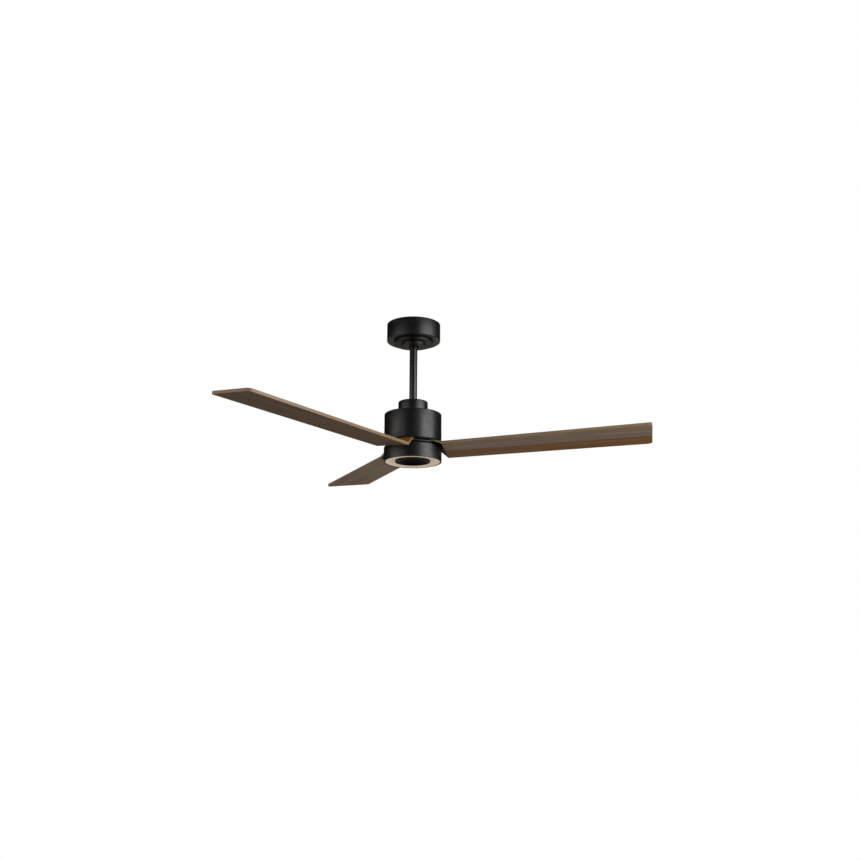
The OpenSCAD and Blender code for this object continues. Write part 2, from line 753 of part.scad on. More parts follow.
module rotor_base() {
    hub_r = bearing_out_r + 3;
    color("#26262a") difference() {
        union() {
            translate([0, 0, base_bottom]) cylinder(r = base_r, h = base_t, $fn = round_fn);
            translate([0, 0, base_bottom]) cylinder(r = hub_r, h = bearing_h + race_lip, $fn = round_fn);
        }
        translate([0, 0, lower_bearing_z])
            cylinder(r = bearing_out_r + touch, h = bearing_h + 1, $fn = round_fn);
        translate([0, 0, base_bottom - 1]) cylinder(r = bearing_lip_r - 1, h = base_t, $fn = round_fn);
        each_blade() tab_screws() translate([0, 0, base_bottom - 1])
            cylinder(r = blade_screw_r + touch, h = blade_screw_depth + 1, $fn = small_fn);
        bell_screw_spots() translate([0, 0, -bell_screw_depth])
            cylinder(r = bell_screw_r + touch, h = bell_screw_depth + 1, $fn = small_fn);
    }
}

module bearing_outer_races() {
    color(steel) for (z = [upper_bearing_z, lower_bearing_z]) translate([0, 0, z + touch]) difference() {
        ring(bearing_out_r, bearing_lip_r, bearing_h - 2 * touch);
        translate([0, 0, -touch]) ball_track();
    }
}

module bearing_balls() {
    color("#c9cbce") for (z = [upper_bearing_z, lower_bearing_z], i = [0 : bearing_balls_n - 1])
        rotate(i * 360 / bearing_balls_n) translate([bearing_mid_r + ball_gap / 2, 0, z + bearing_h / 2])
            sphere(r = ball_gap / 2 + 0.4, $fn = 48);
}

// One moulded board: a flat tab, a curved fold, a web and the pitched panel
module blade() {
    n = len(upper);
    fold_end = fold_steps + 1;
    fold_mid = 1 + fold_steps / 2;
    high = fold_steps + 2;       // the panel's root corners
    low = n - 2;
    top_faces = concat([[for (i = [fold_end : -1 : 1]) i, 0, n - 1]],
        [for (i = [1 : fold_mid - 1]) [i + 1, high, i]], [[fold_mid, low, high]],
        [for (i = [fold_mid : fold_end - 1]) [i + 1, low, i]],
        [[for (i = [low : -1 : high]) i]]);
    bottom_faces = [for (f = top_faces) [for (i = [len(f) - 1 : -1 : 0]) f[i] + n]];
    rim = concat([0, 1], [for (i = [high : low]) i], [fold_end, n - 1]);
    side_faces = [for (k = [0 : len(rim) - 1], half = [0, 1]) let (i = rim[k], j = rim[(k + 1) % len(rim)])
        half == 0 ? [i, j, j + n] : [i, j + n, i + n]];
    color(walnut) difference() {
        polyhedron(concat(upper, lower), concat(top_faces, bottom_faces, side_faces));
        tab_screws() translate([0, 0, tab_bottom - 1])
            cylinder(r = blade_screw_r + touch, h = tab_t + 2, $fn = small_fn);
    }
}

module blade_1() { rotate(blade_angle) blade(); }
module blade_2() { rotate(blade_angle + turn) blade(); }
module blade_3() { rotate(blade_angle + 2 * turn) blade(); }

module blade_gaskets() {
    color("#1d1d1f") each_blade() translate([0, 0, tab_top + touch]) difference() {
        linear_extrude(gasket_t - 2 * touch) polygon(gasket_outline);
        tab_screws() translate([0, 0, -1])
            cylinder(r = blade_screw_r + touch, h = gasket_t + 2, $fn = small_fn);
    }
}

module blade_clamp() {
    color("#26262a") difference() {
        translate([0, 0, tab_bottom - clamp_t - touch]) ring(clamp_out_r, clamp_in_r, clamp_t);
        each_blade() tab_screws() translate([0, 0, tab_bottom - clamp_t - 1])
            cylinder(r = blade_screw_r + touch, h = clamp_t + 2, $fn = small_fn);
    }
}

module blade_screws() {
    color(steel) each_blade() tab_screws() translate([0, 0, tab_bottom - clamp_t - 2 * touch])
        screw(blade_screw_r, clamp_t + tab_t + gasket_t + blade_screw_depth - 1, 4.2, 1.5);
}

hanger_bracket();
earth_screw();
canopy();
canopy_screws();
canopy_cover();
receiver();
supply_leads();
wire_connectors();
hanger_ball();
ball_pin();
downrod();
motor_leads();
coupling();
clevis_pin();
hairpin_clip();
coupling_set_screws();
coupling_cover();
motor_housing();
housing_screws();
motor_shaft();
stator_hub();
stator_core();
stator_windings();
bearing_inner_races();
light_plate();
shaft_washer();
shaft_nut();
plate_screws();
light_housing();
light_bezel();
led_driver();
led_carrier();
led_board();
led_chips();
ring_diffuser();
centre_cup();
rotor_bell();
rotor_magnets();
rotor_base();
bell_screws();
bearing_outer_races();
bearing_balls();
blade_1();
blade_2();
blade_3();
blade_gaskets();
blade_clamp();
blade_screws();
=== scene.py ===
"""Looks of a three-blade ceiling fan with a ring light: turned shells, veneered blades, zinc hardware."""

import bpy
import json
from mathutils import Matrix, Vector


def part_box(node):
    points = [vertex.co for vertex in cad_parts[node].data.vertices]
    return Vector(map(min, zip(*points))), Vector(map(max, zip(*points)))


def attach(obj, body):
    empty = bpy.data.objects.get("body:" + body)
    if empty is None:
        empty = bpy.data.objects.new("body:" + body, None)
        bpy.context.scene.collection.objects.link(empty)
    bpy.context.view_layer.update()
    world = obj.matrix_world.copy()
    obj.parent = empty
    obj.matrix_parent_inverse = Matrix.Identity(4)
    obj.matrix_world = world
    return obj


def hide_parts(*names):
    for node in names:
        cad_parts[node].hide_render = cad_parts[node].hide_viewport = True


bl_info = {
    "name": "Ceiling Fan Looks",
    "version": (1, 0, 0),
    "blender": (4, 5, 0),
    "location": "3D Viewport > Sidebar > Fan",
    "description": "Builds the finished surfaces of a ceiling fan around its packed frame",
    "category": "Object",
}

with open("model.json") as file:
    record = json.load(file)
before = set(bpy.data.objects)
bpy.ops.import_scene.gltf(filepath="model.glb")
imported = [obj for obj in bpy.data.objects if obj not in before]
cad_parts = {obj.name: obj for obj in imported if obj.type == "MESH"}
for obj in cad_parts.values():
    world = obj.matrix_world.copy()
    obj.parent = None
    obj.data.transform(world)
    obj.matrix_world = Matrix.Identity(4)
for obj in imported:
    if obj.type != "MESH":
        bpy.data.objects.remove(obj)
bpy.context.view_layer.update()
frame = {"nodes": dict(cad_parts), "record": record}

import json
import math

import bmesh
import bpy
from mathutils import Matrix, Vector

MM = 0.001
HAIR = 0.00001                    # metres: two heights or radii closer than this are the same one
WELD = 1e-7                       # metres: points of a new piece closer than this become one
CAD_WELD = 2e-6                   # metres: the same for the loose triangles of a CAD node
FLAT = math.radians(0.4)          # CAD triangles that meet at less than this make one flat face
SMOOTH = math.radians(35)         # an edge sharper than this stays crisp
SHARP = math.radians(30)          # an edge of a CAD shape sharper than this is rounded
SEGMENTS = 3                      # facets across a small rounding
LARGE_SEGMENTS = 5                # facets across a rounding wider than a millimetre
BOWL_SEGMENTS = 24                # facets from the middle of the centre cup to its lip
MIX_A, MIX_B, MIX_COLOUR = 6, 7, 2    # sockets of a Mix node that mixes colours
BLADES = ("blade_1", "blade_2", "blade_3")
FACE, BAND, ROOT_SHADE, UPPER = range(4)   # a blade's materials, in the order of their slots
STEEP = 0.5                       # a blade's face whose normal rises less than this is an edge
ROOT_MARGIN = 2 * MM              # how far inside the root's corner the painted shade ends
FLOOR_RADIUS = 12                 # metres
FLOOR_SIDES = 96
SENSOR_WIDTH = 36                 # mm, that of a full-frame camera
# each soft light: bearing in degrees from +X, distance, height, width and height of its face, colour
SOFTBOXES = {
    "right_softbox": (-30, 3.0, -0.1, (2.9, 2.4), "#ffffff"),
    "left_softbox": (-151, 3.0, -0.45, (3.2, 2.2), "#fffaf6"),
}


def linear(hex_colour):
    """An sRGB hex colour as linear red, green and blue."""
    channels = [int(hex_colour[start:start + 2], 16) / 255 for start in (1, 3, 5)]
    return tuple(c / 12.92 if c <= 0.04045 else ((c + 0.055) / 1.055) ** 2.4 for c in channels)


# ---------------------------------------------------------------- settings

def colour(name, description, hex_colour):
    """A colour that the user can change."""
    return bpy.props.FloatVectorProperty(name=name, description=description, subtype="COLOR", size=3,
                                         min=0, max=1, default=linear(hex_colour))


def length(name, description, default):
    """A length that the user can change, in metres."""
    return bpy.props.FloatProperty(name=name, description=description, unit="LENGTH", min=0, default=default)


class FanShape(bpy.types.PropertyGroup):
    """Sizes that finish the pieces. The places of the pieces come from the frame."""
    steps: bpy.props.IntProperty(name="Steps", description="Facets round a turned piece", min=48, default=160)
    shell_edge: length("Shell edge", "Rounding of the rolled edges of the painted shells", 0.5 * MM)
    cover_edge: length("Cover edge", "Rounding of the moulded canopy cover's steps", 0.6 * MM)
    rod_edge: length("Rod edge", "Chamfer of the rod's cut ends", 0.3 * MM)
    blade_edge: length("Blade edge", "Easing of the blades' long edges", 1.0 * MM)
    metal_edge: length("Metal edge", "Easing of sheared steel edges", 0.35 * MM)
    # on the first blade this width is also where the painted warm reflection along the low edge ends
    leaf_and_reflection_width: length("Leaf width", "Width of the veneer leaf along a blade's low edge", 62 * MM)
    first_blade: bpy.props.FloatProperty(name="First blade", description="Angle of the first blade at rest",
                                         subtype="ANGLE", default=math.radians(-11.8))


class FanColours(bpy.types.PropertyGroup):
    """Colours of the finishes."""
    black: colour("Black powder coat", "Satin black of the canopy, rod and housings", "#0c0c0d")
    # darker than the shells' black: painted shade of the centre cup's deep hollow
    cup_shade_black: colour("Cup black", "Smoother black inside the centre cup", "#030303")
    cover_black: colour("Cover black", "Moulded black of the canopy's cover", "#070708")
    walnut_grey: colour("Grey walnut", "Veneer leaf with a grey cast", "#8f7b69")
    # warm walnut: on the first blade's low leaf a painted warm reflection, on the blades' tops the wood's own
    # colour
    walnut_warm_and_reflection: colour("Warm walnut", "Veneer leaf with a warm cast", "#81561f")
    # a whole blade in this darker walnut is painted shade of the near left blade
    walnut_painted_shade: colour("Dark walnut", "Veneer leaf that is dark brown", "#684e36")
    # the blades' roots in this near black are painted shade where they pass under the drum
    stain: colour("Black stain", "Underside of the blades' roots", "#1d1712")
    walnut_edge: colour("Edge band", "Paler banding round the blades", "#8f7556")
    opal: colour("Opal", "Diffuser of the ring light", "#efe4d4")
    glow: colour("Glow", "Light that comes through the diffuser", "#ffe2c2")
    zinc: colour("Zinc", "Bright zinc plating", "#b9bbbf")
    aluminium: colour("Aluminium", "Die-cast aluminium", "#a3a5a8")
    copper: colour("Copper", "Enamelled copper wire", "#a85c2c")


class FanStage(bpy.types.PropertyGroup):
    """Camera, light and floor."""
    camera_distance: length("Camera distance", "From the fan's axis, measured level", 2.9565)
    camera_drop: length("Camera drop", "How far the camera is below the ceiling", 1.0517)
    camera_pitch: bpy.props.FloatProperty(name="Camera pitch", description="How far the camera looks up",
                                          subtype="ANGLE", default=math.radians(14.1))
    camera_yaw: bpy.props.FloatProperty(name="Camera yaw", description="How far the camera looks to the right",
                                        subtype="ANGLE", default=math.radians(0.93))
    camera_roll: bpy.props.FloatProperty(name="Camera roll", description="Turn of the camera about its own axis",
                                         subtype="ANGLE", default=math.radians(0.27))
    lens: bpy.props.FloatProperty(name="Lens", description="Focal length on a 36 mm sensor", unit="CAMERA",
                                  default=45.58)
    floor_drop: length("Floor drop", "How far the floor is below the ceiling", 4.6)
    right_power: bpy.props.FloatProperty(name="Right light", description="Power of the tall light on the right",
                                         unit="POWER", default=109)
    left_power: bpy.props.FloatProperty(name="Left light", description="Power of the tall light on the left",
                                        unit="POWER", default=42)


def shape():
    """The sizes as the user has them."""
    return bpy.context.scene.fan_shape


def paint():
    """The colours as the user has them."""
    return bpy.context.scene.fan_colours


# ---------------------------------------------------------------- reading the frame

def points(node):
    """A CAD node's points."""
    return [v.co for v in frame["nodes"][node].data.vertices]


def top(node):
    """Height of a CAD node's highest point."""
    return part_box(node)[1].z


def bottom(node):
    """Height of a CAD node's lowest point."""
    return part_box(node)[0].z


def ring_at(node, height):
    """Inner and outer radius of a turned CAD node's points at one height."""
    spans = [math.hypot(co.x, co.y) for co in points(node) if abs(co.z - height) < HAIR]
    if not spans:
        raise RuntimeError(f"{node} has no points at height {height}")
    return min(spans), max(spans)


def highest_at(node, radius):
    """Height of a turned CAD node's highest point at one radius."""
    return max(co.z for co in points(node) if abs(co.xy.length - radius) < HAIR)


def levels(node):
    """The heights at which a turned CAD node has points, from the lowest up."""
    heights = []
    for height in sorted(co.z for co in points(node)):
        if not heights or height - heights[-1] > HAIR:
            heights.append(height)
    return heights


def slot_of(node):
    """The record's material slot of a CAD node."""
    return next(part["material_slot"] for part in frame["record"]["subparts"] if part["node"] == node)


# ---------------------------------------------------------------- making meshes

def finished(made, name, body, materials, replaced):
    """Turns a bmesh into a piece that rides on a body and stands for CAD nodes."""
    bmesh.ops.dissolve_degenerate(made, dist=WELD, edges=made.edges)
    mesh = bpy.data.meshes.new(name)
    made.to_mesh(mesh)
    made.free()
    mesh.shade_smooth()
    mesh.set_sharp_from_angle(angle=SMOOTH)
    piece = bpy.data.objects.new(name, mesh)
    bpy.context.scene.collection.objects.link(piece)
    for material in materials:
        mesh.materials.append(material)
    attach(piece, body)
    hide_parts(*replaced)


def bevelled(made, edges, width, segments):
    """Rounds some edges."""
    bmesh.ops.bevel(made, geom=edges, offset=width, offset_type="OFFSET", segments=segments, profile=0.5,
                    affect="EDGES", clamp_overlap=True, material=-1)


def ease(made, width):
    """Rounds every sharp edge."""
    sharp = [e for e in made.edges if len(e.link_faces) == 2 and e.calc_face_angle() > SHARP]
    bevelled(made, sharp, width, SEGMENTS)


def spun(made, outline, steps):
    """Spins a closed outline into a solid. Each corner is its radius, height and rounding, in metres."""
    corners = [made.verts.new((radius, 0, height)) for radius, height, _ in outline]
    # an outline that starts on the axis also ends on it, and stays open
    closing = 0 if outline[0][0] > 0 else 1
    section = [made.edges.new((corners[i - 1], corners[i])) for i in range(closing, len(corners))]
    bmesh.ops.spin(made, geom=corners + section, axis=(0, 0, 1), cent=(0, 0, 0), angle=math.tau,
                   steps=steps, use_merge=True, use_duplicate=False)
    bmesh.ops.remove_doubles(made, verts=made.verts, dist=WELD)
    bmesh.ops.recalc_face_normals(made, faces=made.faces)
    for width in sorted({corner[2] for corner in outline if corner[2] > 0}, reverse=True):
        rounded = [(radius, height) for radius, height, rounding in outline if rounding == width]
        rings = [e for e in made.edges if on_ring(e.verts[0], rounded) and on_ring(e.verts[1], rounded)
                 and abs(e.verts[0].co.z - e.verts[1].co.z) < HAIR and
                 abs(e.verts[0].co.xy.length - e.verts[1].co.xy.length) < HAIR]
        bevelled(made, rings, width, LARGE_SEGMENTS if width > MM else SEGMENTS)


def on_ring(vert, rounded):
    """Whether a vertex lies on one of the rings, each a radius and a height."""
    radius = vert.co.xy.length
    return any(abs(radius - r) < HAIR and abs(vert.co.z - z) < HAIR for r, z in rounded)


def sweep(angle):
    """Even steps from nothing up to an angle."""
    return [angle * i / BOWL_SEGMENTS for i in range(BOWL_SEGMENTS + 1)]


def turned(name, body, material, outline, replaced):
    """A piece turned from its outline."""
    made = bmesh.new()
    spun(made, outline, shape().steps)
    finished(made, name, body, [material], replaced)


def shell(name, body, node, closed_above):
    """A thin painted cup, turned. Its wall, its rounded corner and its pierced end are the CAD cup's."""
    shut, mouth = (top(node), bottom(node)) if closed_above else (bottom(node), top(node))
    inner, outer = ring_at(node, mouth)
    hole, flat = ring_at(node, shut)
    wall, corner = outer - inner, outer - flat
    floor = shut - wall if closed_above else shut + wall
    edge = shape().shell_edge
    turned(name, body, FINISHES["black_paint"],
           [(outer, mouth, edge), (outer, shut, corner), (hole, shut, edge), (hole, floor, edge),
            (inner, floor, corner - wall), (inner, mouth, edge)], [node])


def eased(name, node, body, width):
    """A CAD node's shape with its edges rounded, in the node's own finish."""
    made = copied(node)
    ease(made, width)
    finished(made, name, body, [FINISHES[slot_of(node)]], [node])


def copied(node):
    """A CAD node's mesh with its loose triangles joined into faces."""
    made = bmesh.new()
    made.from_mesh(frame["nodes"][node].data)
    bmesh.ops.remove_doubles(made, verts=made.verts, dist=CAD_WELD)
    bmesh.ops.dissolve_limit(made, angle_limit=FLAT, use_dissolve_boundaries=False,
                             verts=made.verts, edges=made.edges)
    for layer in list(made.loops.layers.uv.values()):
        made.loops.layers.uv.remove(layer)
    return made


# ---------------------------------------------------------------- materials

def add(tree, kind, inputs=None, **settings):
    """Adds one node. Settings are its own properties; inputs are values or sockets, by name or number."""
    made = tree.nodes.new(kind)
    for key, value in settings.items():
        setattr(made, key, value)
    for key, value in (inputs or {}).items():
        if isinstance(value, bpy.types.NodeSocket):
            tree.links.new(value, made.inputs[key])
        else:
            made.inputs[key].default_value = value
    return made


def finish(name, **surface):
    """A new material with one Principled shader. Returns the material, its tree and the shader."""
    material = bpy.data.materials.new(name)
    material.use_nodes = True
    tree = material.node_tree
    tree.nodes.clear()
    shader = add(tree, "ShaderNodeBsdfPrincipled")
    for key, value in surface.items():
        socket = shader.inputs[key.replace("_", " ")]
        socket.default_value = (*value, 1) if key == "Base_Color" else value
    add(tree, "ShaderNodeOutputMaterial", {"Surface": shader.outputs[0]})
    return material, tree, shader


def grain_at(tree, spacing, stretch=(1, 1, 1), detail=2.0):
    """Noise whose bumps are about one spacing apart, in metres, longer where the stretch is greater."""
    place = add(tree, "ShaderNodeTexCoord").outputs["Object"]
    scale = tuple(1 / (spacing * s) for s in stretch)
    mapped = add(tree, "ShaderNodeMapping", {"Vector": place, "Scale": scale})
    return add(tree, "ShaderNodeTexNoise", {"Vector": mapped.outputs[0], "Scale": 1.0, "Detail": detail,
                                            "Roughness": 0.55}).outputs[0]


def texture_surface(tree, shader, roughness, spread, spacing, bump_height, bump_spacing, stretch=(1, 1, 1)):
    """Gives a shader an uneven gloss and fine relief."""
    patches = grain_at(tree, spacing, stretch)
    gloss = add(tree, "ShaderNodeMapRange", {"Value": patches, "From Min": 0.3, "From Max": 0.7,
                                             "To Min": roughness - spread, "To Max": roughness + spread})
    tree.links.new(gloss.outputs[0], shader.inputs["Roughness"])
    relief = grain_at(tree, bump_spacing, stretch, 1.0)
    bump = add(tree, "ShaderNodeBump", {"Height": relief, "Strength": 0.35, "Distance": bump_height})
    tree.links.new(bump.outputs[0], shader.inputs["Normal"])
    return patches


def tint_surface(tree, shader, patches, base, amount):
    """Lightens and darkens a base colour by patches."""
    dark = (*[c * (1 - amount) for c in base], 1)
    light = (*[min(1, c * (1 + amount)) for c in base], 1)
    mixed = add(tree, "ShaderNodeMix", {0: patches, MIX_A: dark, MIX_B: light}, data_type="RGBA")
    tree.links.new(mixed.outputs[MIX_COLOUR], shader.inputs["Base Color"])


def powder_coat():
    """Satin black polyester powder, sprayed and baked: a low sheen over a faint orange peel."""
    base = tuple(paint().black)
    material, tree, shader = finish("black_powder_coat", Base_Color=base, IOR=1.5)
    # orange peel of about 1.5 mm, drawn at 3 mm so that it shows
    patches = texture_surface(tree, shader, 0.40, 0.05, 18 * MM, 0.05 * MM, 3 * MM)
    tint_surface(tree, shader, patches, base, 0.12)
    return material


def cup_paint():
    """Black lacquer inside the spun bowl: smoother than the powder coat, with little sheen, and a darker black
    than the shells as painted shade of the deep hollow, so it stays dark.
    """
    base = tuple(paint().cup_shade_black)
    material, tree, shader = finish("black_cup_painted_shade", Base_Color=base, IOR=1.5, Specular_IOR_Level=0.18)
    patches = texture_surface(tree, shader, 0.33, 0.04, 14 * MM, 0.02 * MM, 2.5 * MM)
    tint_surface(tree, shader, patches, base, 0.1)
    return material


def painted_root_shade():
    """Walnut painted near black where the blade's root passes under the drum, as painted shade of that gap: open
    pores, hardly any sheen.
    """
    base = tuple(paint().stain)
    material, tree, shader = finish("walnut_painted_root_shade", Base_Color=base, IOR=1.5, Specular_IOR_Level=0.2)
    patches = texture_surface(tree, shader, 0.62, 0.06, 5 * MM, 0.05 * MM, 1 * MM)
    tint_surface(tree, shader, patches, base, 0.3)
    return material


def moulded(name, base, roughness, sheen=0.5):
    """Injection-moulded plastic: one colour, a spark-eroded skin of about half a millimetre."""
    material, tree, shader = finish(name, Base_Color=base, IOR=1.46, Specular_IOR_Level=sheen)
    patches = texture_surface(tree, shader, roughness, 0.05, 9 * MM, 0.04 * MM, 0.8 * MM)
    tint_surface(tree, shader, patches, base, 0.06)
    return material


def metal(name, base, roughness, spread, patch, stretch=(1, 1, 1), relief=0.02 * MM):
    """Bare or plated metal: gloss that changes from patch to patch, with tool marks along the stretch."""
    material, tree, shader = finish(name, Base_Color=base, Metallic=1.0)
    patches = texture_surface(tree, shader, roughness, spread, patch, relief, patch / 4, stretch)
    tint_surface(tree, shader, patches, base, 0.10)
    return material


def laminated_core():
    """Stacked electrical steel sheets of half a millimetre: fine level lines on the edges, drawn at 1 mm."""
    base = linear("#6d6f74")
    material, tree, shader = finish("laminated_core_steel", Base_Color=base, Metallic=1.0)
    place = add(tree, "ShaderNodeTexCoord").outputs["Object"]
    # a wave of scale 1 repeats every tau / 20 of a unit, and this one every millimetre
    lines = add(tree, "ShaderNodeTexWave", {"Vector": place, "Scale": math.tau / (20 * MM), "Distortion": 0.0},
                wave_type="BANDS", bands_direction="Z")
    gloss = add(tree, "ShaderNodeMapRange", {"Value": lines.outputs["Fac"], "To Min": 0.35, "To Max": 0.6})
    tree.links.new(gloss.outputs[0], shader.inputs["Roughness"])
    tint_surface(tree, shader, lines.outputs["Fac"], base, 0.25)
    bump = add(tree, "ShaderNodeBump", {"Height": lines.outputs["Fac"], "Strength": 0.5, "Distance": 0.1 * MM})
    tree.links.new(bump.outputs[0], shader.inputs["Normal"])
    return material


def wound_copper():
    """Enamelled round wire wound in layers: parallel glossy strands of 0.8 mm, drawn at 1.2 mm."""
    base = tuple(paint().copper)
    material, tree, shader = finish("enamelled_copper_wire", Base_Color=base, Metallic=0.85)
    place = add(tree, "ShaderNodeTexCoord").outputs["Object"]
    radial = add(tree, "ShaderNodeVectorMath", {0: place, 1: (1, 1, 0)}, operation="MULTIPLY")
    distance = add(tree, "ShaderNodeVectorMath", {0: radial.outputs[0]}, operation="LENGTH")
    phase = add(tree, "ShaderNodeMath", {0: distance.outputs["Value"], 1: math.tau / (1.2 * MM)},
                operation="MULTIPLY")
    strands = add(tree, "ShaderNodeMath", {0: phase.outputs[0]}, operation="SINE")
    share = add(tree, "ShaderNodeMapRange", {"Value": strands.outputs[0], "From Min": -1.0, "From Max": 1.0})
    tint_surface(tree, shader, share.outputs[0], base, 0.35)
    gloss = add(tree, "ShaderNodeMapRange", {"Value": share.outputs[0], "To Min": 0.42, "To Max": 0.28})
    tree.links.new(gloss.outputs[0], shader.inputs["Roughness"])
    bump = add(tree, "ShaderNodeBump", {"Height": share.outputs[0], "Strength": 0.8, "Distance": 0.3 * MM})
    tree.links.new(bump.outputs[0], shader.inputs["Normal"])
    return material


def opal_acrylic():
    """Opal acrylic over a ring of lamps: milky, faintly uneven where the lamps sit, matt on the outside."""
    base = tuple(paint().opal)
    material, tree, shader = finish("opal_acrylic", Base_Color=base, IOR=1.49, Emission_Strength=0.22)
    patches = texture_surface(tree, shader, 0.42, 0.04, 12 * MM, 0.03 * MM, 1.0 * MM)
    tint_surface(tree, shader, patches, base, 0.03)
    glow = tuple(paint().glow)
    cloud = grain_at(tree, 26 * MM, detail=1.0)
    mixed = add(tree, "ShaderNodeMix", {0: cloud, MIX_A: (*[c * 0.82 for c in glow], 1), MIX_B: (*glow, 1)},
                data_type="RGBA")
    tree.links.new(mixed.outputs[MIX_COLOUR], shader.inputs["Emission Color"])
    return material


def walnut_veneer(name, near_leaf_and_painted_light, low_leaf_and_painted_light):
    """Two quarter-cut walnut leaves laid side by side and lacquered satin: straight grain along the blade. Their
    colours also carry painted light: a warm low leaf is a painted warm reflection, and a blade darkened all over
    is painted shade.
    """
    material, tree, shader = finish(name, IOR=1.5, Specular_IOR_Level=0.25)
    place = add(tree, "ShaderNodeTexCoord").outputs["UV"]
    parts = add(tree, "ShaderNodeSeparateXYZ", {0: place})
    # the low leaf's colour on the first blade is a painted warm reflection along its low edge
    low_leaf_and_reflection_mask = add(tree, "ShaderNodeMath", {0: parts.outputs["Y"], 1: shape().leaf_and_reflection_width}, operation="LESS_THAN")
    leaf = add(tree, "ShaderNodeMix", {0: low_leaf_and_reflection_mask.outputs[0], MIX_A: (*near_leaf_and_painted_light, 1), MIX_B: (*low_leaf_and_painted_light, 1)},
               data_type="RGBA")
    shifted = add(tree, "ShaderNodeCombineXYZ", {"Z": low_leaf_and_reflection_mask.outputs[0]})
    moved = add(tree, "ShaderNodeVectorMath", {0: place, 1: shifted.outputs[0]}, operation="ADD")
    streaks = []
    # growth bands of 11 mm, fibres of 3 mm, pores of 0.7 mm; each runs some 30 times as long as it is wide
    for spacing, run in ((11 * MM, 32), (3 * MM, 40), (0.7 * MM, 24)):
        mapped = add(tree, "ShaderNodeMapping",
                     {"Vector": moved.outputs[0], "Scale": (1 / (spacing * run), 1 / spacing, 1.0)})
        streaks.append(add(tree, "ShaderNodeTexNoise", {"Vector": mapped.outputs[0], "Scale": 1.0, "Detail": 3.0,
                                                        "Roughness": 0.6, "Distortion": 0.25}).outputs[0])
    bands = add(tree, "ShaderNodeMapRange", {"Value": streaks[0], "From Min": 0.32, "From Max": 0.68,
                                             "To Min": 0.74, "To Max": 1.22})
    fibres = add(tree, "ShaderNodeMapRange", {"Value": streaks[1], "From Min": 0.3, "From Max": 0.7,
                                              "To Min": 0.84, "To Max": 1.14})
    pores = add(tree, "ShaderNodeMapRange", {"Value": streaks[2], "From Min": 0.30, "From Max": 0.42,
                                             "To Min": 0.62, "To Max": 1.0})
    shade = add(tree, "ShaderNodeMath", {0: bands.outputs[0], 1: fibres.outputs[0]}, operation="MULTIPLY")
    shade = add(tree, "ShaderNodeMath", {0: shade.outputs[0], 1: pores.outputs[0]}, operation="MULTIPLY")
    wood = add(tree, "ShaderNodeVectorMath", {0: leaf.outputs[MIX_COLOUR]}, operation="SCALE")
    tree.links.new(shade.outputs[0], wood.inputs["Scale"])
    tree.links.new(wood.outputs[0], shader.inputs["Base Color"])
    gloss = add(tree, "ShaderNodeMapRange", {"Value": shade.outputs[0], "From Min": 0.5, "From Max": 1.3,
                                             "To Min": 0.62, "To Max": 0.50})
    tree.links.new(gloss.outputs[0], shader.inputs["Roughness"])
    bump = add(tree, "ShaderNodeBump", {"Height": pores.outputs[0], "Strength": 0.5, "Distance": 0.08 * MM})
    tree.links.new(bump.outputs[0], shader.inputs["Normal"])
    return material


def edge_band():
    """Thin walnut banding ironed on the blades' edges, paler than the faces, its grain along the edge."""
    base = tuple(paint().walnut_edge)
    material, tree, shader = finish("walnut_edge_band", Base_Color=base, IOR=1.5)
    place = add(tree, "ShaderNodeTexCoord").outputs["UV"]
    mapped = add(tree, "ShaderNodeMapping", {"Vector": place, "Scale": (1 / (60 * MM), 1 / (2 * MM), 1.0)})
    streaks = add(tree, "ShaderNodeTexNoise", {"Vector": mapped.outputs[0], "Scale": 1.0, "Detail": 3.0})
    tint_surface(tree, shader, streaks.outputs[0], base, 0.3)
    gloss = add(tree, "ShaderNodeMapRange", {"Value": streaks.outputs[0], "To Min": 0.55, "To Max": 0.42})
    tree.links.new(gloss.outputs[0], shader.inputs["Roughness"])
    return material


def stage_paint():
    """Matt pale emulsion of the floor, rolled on: faint patches of a few centimetres."""
    base = linear("#e6e5e2")
    material, tree, shader = finish("pale_floor_paint", Base_Color=base, Roughness=0.8)
    tint_surface(tree, shader, grain_at(tree, 50 * MM), base, 0.02)
    return material


def all_finishes():
    """The finishes by the record's slot names, made once."""
    zinc = tuple(paint().zinc)
    return {
        "black_paint": powder_coat(),
        "zinc_steel": metal("zinc_plated_steel", zinc, 0.34, 0.10, 7 * MM),
        "green_screw": metal("green_dyed_zinc", linear("#2f7a3d"), 0.35, 0.08, 3 * MM),
        "white_plastic": moulded("white_abs", linear("#d9d8d2"), 0.45),
        "black_cable": moulded("black_pvc_sleeve", linear("#1b1b1d"), 0.55),
        "connector_plastic": moulded("amber_nylon", linear("#b8741c"), 0.38),
        "ball_nylon": moulded("black_nylon", linear("#222225"), 0.42),
        "cast_iron": metal("blackened_cast_iron", linear("#4b4c4f"), 0.55, 0.10, 4 * MM, relief=0.12 * MM),
        "core_steel": laminated_core(),
        "copper_wire": wound_copper(),
        "bearing_steel": metal("ground_bearing_steel", linear("#c3c4c7"), 0.18, 0.05, 3 * MM, (6, 6, 0.3)),
        "cast_aluminium": metal("die_cast_aluminium", tuple(paint().aluminium), 0.45, 0.08, 5 * MM,
                                relief=0.06 * MM),
        "magnet_ferrite": metal("nickelled_magnet", linear("#55565b"), 0.40, 0.08, 4 * MM),
        "board_white": moulded("white_solder_mask", linear("#e8e8e2"), 0.35),
        "led_phosphor": moulded("yellow_phosphor", linear("#e8c45c"), 0.5),
        "opal_diffuser": opal_acrylic(),
        "walnut_wood": edge_band(),
        "gasket_rubber": moulded("black_rubber", linear("#141415"), 0.75),
        "cup_paint": cup_paint(),
        "cover_black": moulded("black_abs", tuple(paint().cover_black), 0.42, sheen=0.34),
        "stain": painted_root_shade(),
    }


FINISHES = {}


# ---------------------------------------------------------------- operators

